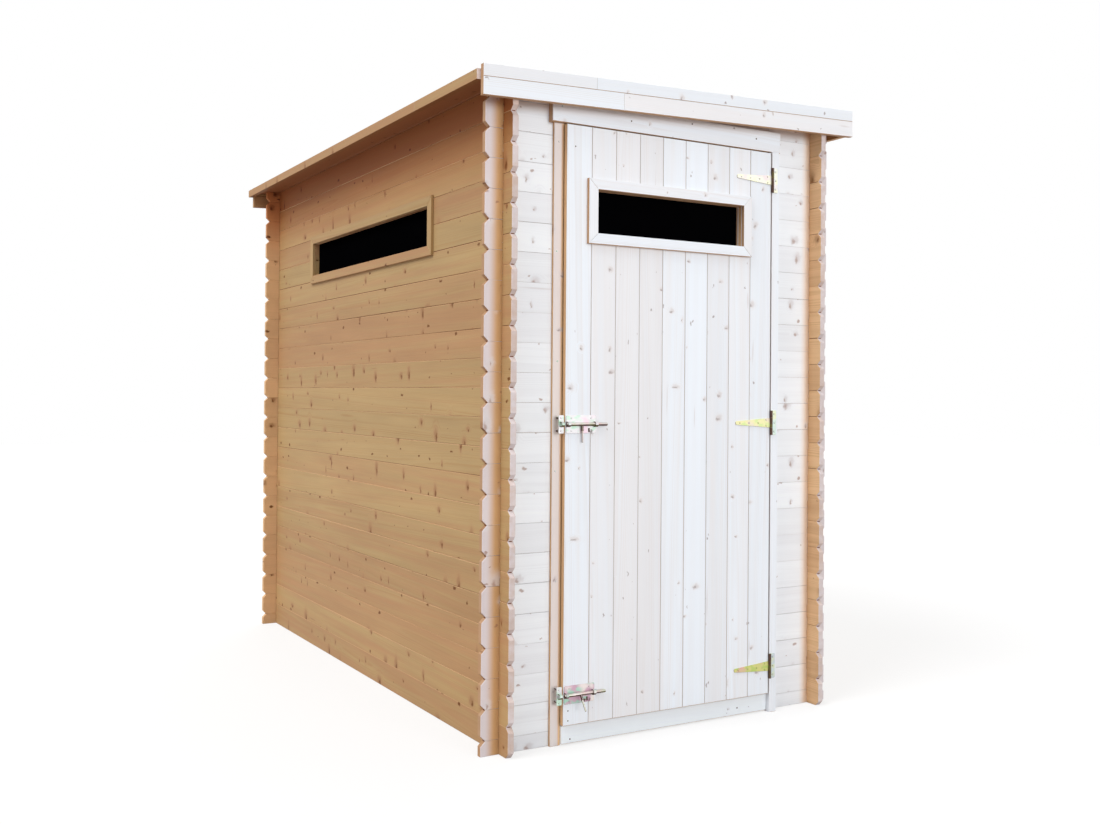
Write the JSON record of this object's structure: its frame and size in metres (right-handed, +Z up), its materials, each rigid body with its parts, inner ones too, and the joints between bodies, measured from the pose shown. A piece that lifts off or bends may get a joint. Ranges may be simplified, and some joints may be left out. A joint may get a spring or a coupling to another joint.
{
  "type": "wooden garden shed",
  "caption": "Small wooden garden shed of interlocking boards with a nearly flat roof, a hinged boarded door with barrel bolts, and low strip windows.",
  "frame": {"origin": "on the ground, below the middle of the overall box", "axes": "+Z up, +Y from the door wall to the back wall, +X to the right seen from in front of the door"},
  "size_m": [1.42, 2.365, 2.0075],
  "materials": {
    "tan_wood": "planed, unpainted",
    "pale_wood": "planed, unpainted, bright",
    "roof_wood": "planed, unpainted",
    "floor_wood": "planed, unpainted",
    "treated_wood": "pressure treated",
    "yellow_zinc": "yellow passivated zinc",
    "zinc": "zinc plated",
    "dark_pane": "gloss"
  },
  "bodies": {
    "shed": {"left_wall": "tan_wood", "right_wall": "tan_wood", "back_wall": "tan_wood", "front_wall_left": "pale_wood", "front_wall_right": "pale_wood", "front_wall_head": "pale_wood", "threshold_board": "pale_wood", "floor_bearers": "treated_wood", "floor_boards": "floor_wood", "left_jamb": "pale_wood", "right_jamb": "pale_wood", "head_lining": "pale_wood", "head_board": "pale_wood", "sill_plank": "pale_wood", "roof_purlins": "tan_wood", "purlin_cleats": "tan_wood", "roof_boards": "roof_wood", "front_fascia": "pale_wood", "back_fascia": "pale_wood", "left_edge_batten": "tan_wood", "right_edge_batten": "tan_wood", "side_window_trim": "tan_wood", "side_window_inner_trim": "tan_wood", "side_window_pane": "dark_pane", "top_hinge_plate": "yellow_zinc", "middle_hinge_plate": "yellow_zinc", "bottom_hinge_plate": "yellow_zinc", "upper_keeper": "zinc", "lower_keeper": "zinc"},
    "door": {"door_boards": "pale_wood", "door_ledges": "pale_wood", "door_braces": "pale_wood", "door_window_trim": "pale_wood", "door_window_inner_trim": "pale_wood", "door_window_pane": "dark_pane", "top_hinge_strap": "yellow_zinc", "middle_hinge_strap": "yellow_zinc", "bottom_hinge_strap": "yellow_zinc", "upper_bolt_plate": "zinc", "lower_bolt_plate": "zinc"},
    "upper_bolt": {"upper_bolt_rod": "zinc"},
    "lower_bolt": {"lower_bolt_rod": "zinc"}
  },
  "joints": [
    {"name": "door_hinge", "type": "hinge", "parent": "shed", "child": "door", "pos_m": [0.38075, -1.144, 0], "axis": [0, 0, 1], "range_deg": [0, 160]},
    {"name": "upper_bolt_slide", "type": "slide", "parent": "door", "child": "upper_bolt", "axis": [-1, 0, 0], "range_m": [0, 0.038]},
    {"name": "lower_bolt_slide", "type": "slide", "parent": "door", "child": "lower_bolt", "axis": [-1, 0, 0], "range_m": [0, 0.038]}
  ]
}
